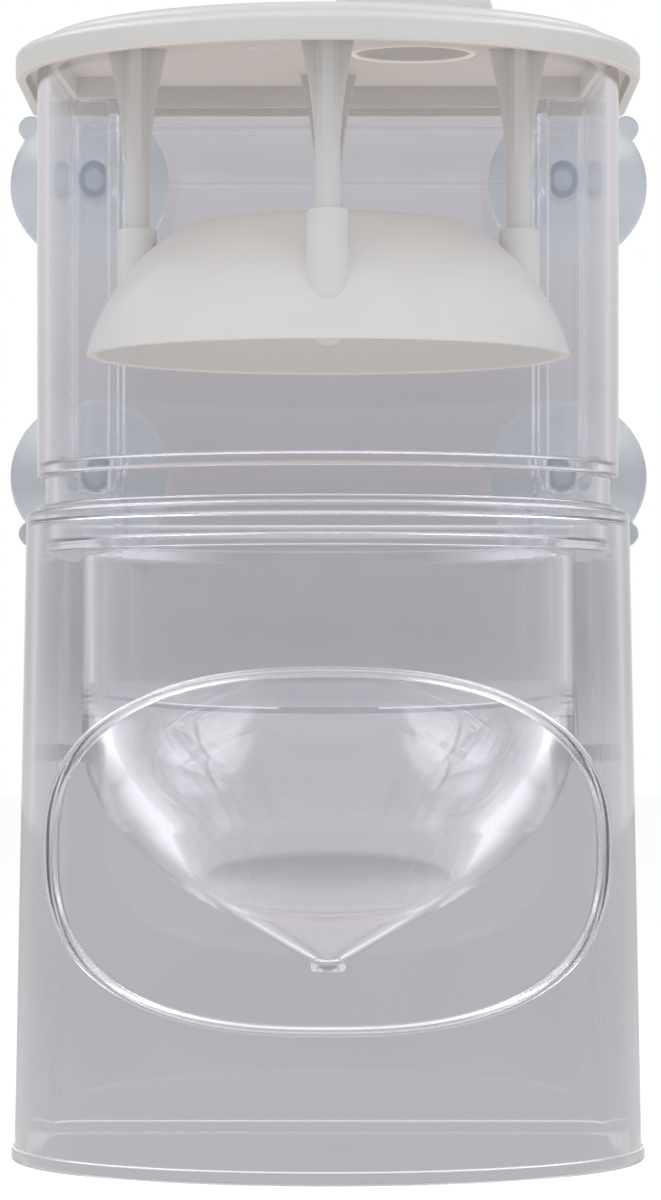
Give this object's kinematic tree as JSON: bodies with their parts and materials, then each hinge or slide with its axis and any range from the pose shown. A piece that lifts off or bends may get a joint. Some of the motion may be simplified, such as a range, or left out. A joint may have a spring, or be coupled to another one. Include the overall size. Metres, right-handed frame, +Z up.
{
  "type": "brine shrimp hatchery",
  "caption": "Clear tank with a pointed bowl in a clear stand with an oval window, closed by a white lid with a hanging splash dome and held to a pane by suction cups.",
  "frame": {"origin": "middle of the footprint, on the surface that the stand rests on", "axes": "+Z up, -Y towards the rounded front with the oval window, +X to the right seen from the front"},
  "size_m": [0.1494, 0.1402, 0.2582],
  "materials": {
    "clear_stand": "polished clear",
    "clear_tank": "polished clear",
    "white_lid": "satin moulded",
    "white_dome": "satin moulded",
    "cup_soft": "soft, pale blue, see-through"
  },
  "bodies": {
    "stand": {"stand": "clear_stand"},
    "tank": {"hatching_tank": "clear_tank"},
    "lid": {"lid": "white_lid"},
    "cap": {"filler_cap": "white_lid"},
    "dome": {"splash_dome": "white_dome"},
    "cup_upper_left": {"suction_cup_upper_left": "cup_soft"},
    "cup_upper_right": {"suction_cup_upper_right": "cup_soft"},
    "cup_lower_left": {"suction_cup_lower_left": "cup_soft"},
    "cup_lower_right": {"suction_cup_lower_right": "cup_soft"}
  },
  "joints": [
    {"name": "tank_lift", "type": "slide", "parent": "stand", "child": "tank", "axis": [0, 0, 1], "range_m": [0, 0.105]},
    {"name": "lid_lift", "type": "slide", "parent": "tank", "child": "lid", "axis": [0, 0, 1], "range_m": [0, 0.068]},
    {"name": "cap_lift", "type": "slide", "parent": "lid", "child": "cap", "axis": [0, 0, 1], "range_m": [0, 0.02]},
    {"name": "dome_pull", "type": "slide", "parent": "lid", "child": "dome", "axis": [0, 0, -1], "range_m": [0, 0.018]},
    {"name": "cup_upper_left_turn", "type": "hinge", "parent": "tank", "child": "cup_upper_left", "pos_m": [-0.0565, 0.06165, 0.2223], "axis": [0, 1, 0], "continuous": true},
    {"name": "cup_upper_right_turn", "type": "hinge", "parent": "tank", "child": "cup_upper_right", "pos_m": [0.0565, 0.06165, 0.2223], "axis": [0, 1, 0], "continuous": true},
    {"name": "cup_lower_left_turn", "type": "hinge", "parent": "tank", "child": "cup_lower_left", "pos_m": [-0.0565, 0.06165, 0.1538], "axis": [0, 1, 0], "continuous": true},
    {"name": "cup_lower_right_turn", "type": "hinge", "parent": "tank", "child": "cup_lower_right", "pos_m": [0.0565, 0.06165, 0.1538], "axis": [0, 1, 0], "continuous": true}
  ]
}
